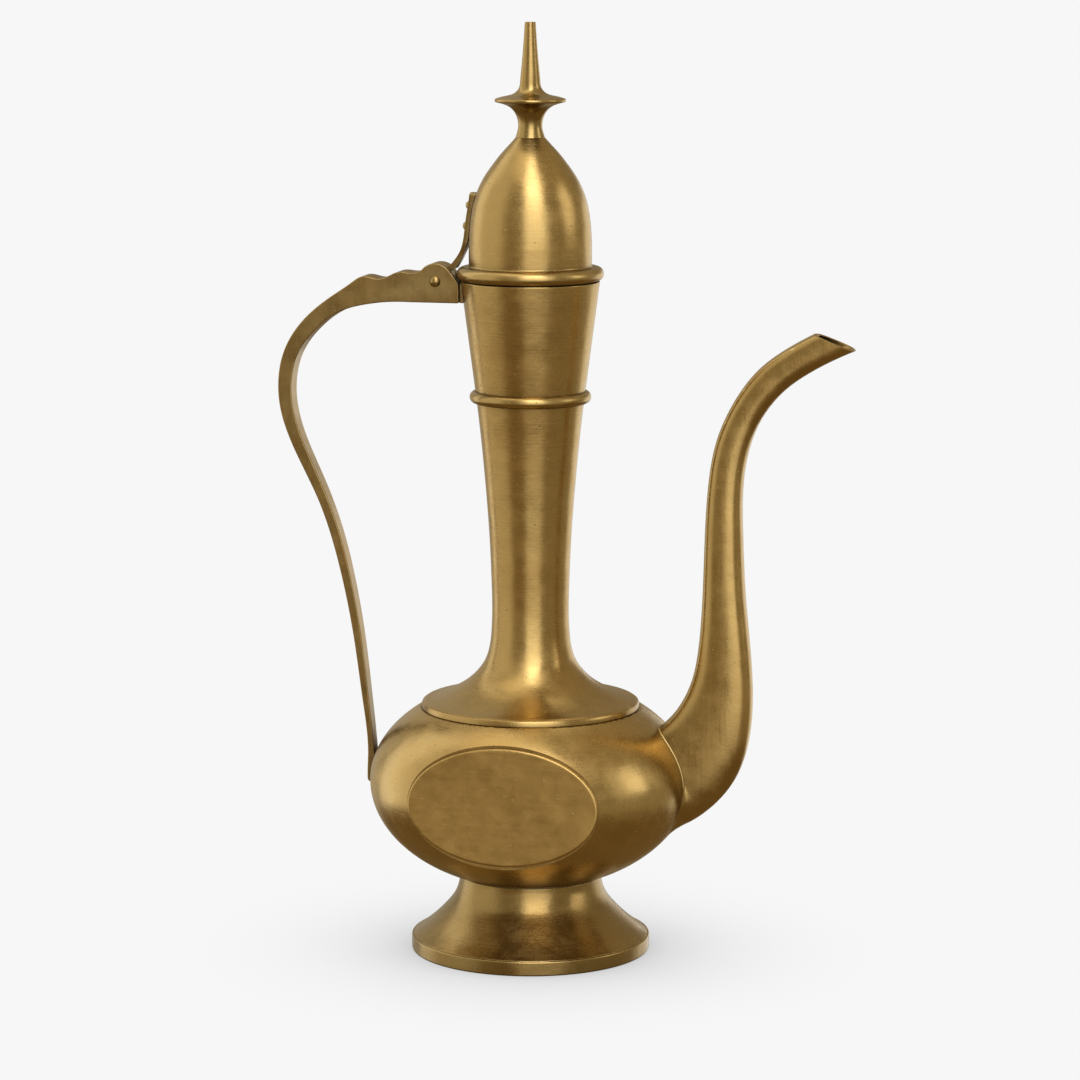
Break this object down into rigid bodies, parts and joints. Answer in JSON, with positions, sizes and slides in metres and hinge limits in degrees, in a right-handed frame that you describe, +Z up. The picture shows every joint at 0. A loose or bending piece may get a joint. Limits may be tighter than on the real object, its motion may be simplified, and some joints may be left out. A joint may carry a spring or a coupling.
{
  "type": "dallah coffee pot",
  "caption": "Long-necked metal coffee pot on a flared foot, with a flattened round belly, swan-neck spout, strap handle and a tall hinged domed lid with a spire.",
  "frame": {"origin": "centre of the foot's underside, on the surface that the pot stands on, on the axis of foot, belly and neck", "axes": "+Z up along the pot's axis, +X from the axis towards the spout, -X towards the handle, +Y across to the medallion at the back"},
  "size_m": [0.25, 0.1144, 0.4],
  "materials": {
    "foot_brass": "antique satin brass, fine turning marks, brown patina in the flare",
    "belly_brass": "antique satin brass, mottled warm brown patina, small dark pits",
    "medallion_brass": "antique satin brass, smooth, slightly darker than the belly, bright worn rim",
    "neck_brass": "antique satin brass, fine grain along the neck, broad soft highlights",
    "bead_brass": "antique satin brass, worn bright on its crest",
    "spout_brass": "antique satin brass, fine grain along the spout, worn bright edges",
    "handle_brass": "antique satin brass, brown patina on the flats, worn bright edges",
    "pin_brass": "polished brass, worn",
    "lid_brass": "antique satin brass, turned grain, soft highlights",
    "finial_brass": "antique satin brass, turned, worn bright on edges",
    "inner_brass": "dull brown brass"
  },
  "bodies": {
    "pot": {"foot_base_ring": "foot_brass", "foot_skirt": "foot_brass", "belly_lower_bowl": "belly_brass", "belly_upper_bowl": "belly_brass", "medallion_front": "medallion_brass", "medallion_back": "medallion_brass", "neck_lower": "neck_brass", "neck_upper": "neck_brass", "neck_bead": "bead_brass", "spout": "spout_brass", "spout_root_collar": "spout_brass", "handle": "handle_brass", "neck_lug": "handle_brass", "hinge_pin": "pin_brass"},
    "lid": {"lid_dome": "lid_brass", "lid_ring": "bead_brass", "lid_inner_collar": "inner_brass", "lid_strap": "handle_brass", "lid_strap_rivets": "pin_brass", "finial": "finial_brass", "finial_rove": "inner_brass", "finial_nut": "inner_brass"}
  },
  "joints": [
    {"name": "lid_hinge", "type": "hinge", "parent": "pot", "child": "lid", "pos_m": [-0.0402, 0, 0.2903], "axis": [0, -1, 0], "range_deg": [0, 95]}
  ]
}
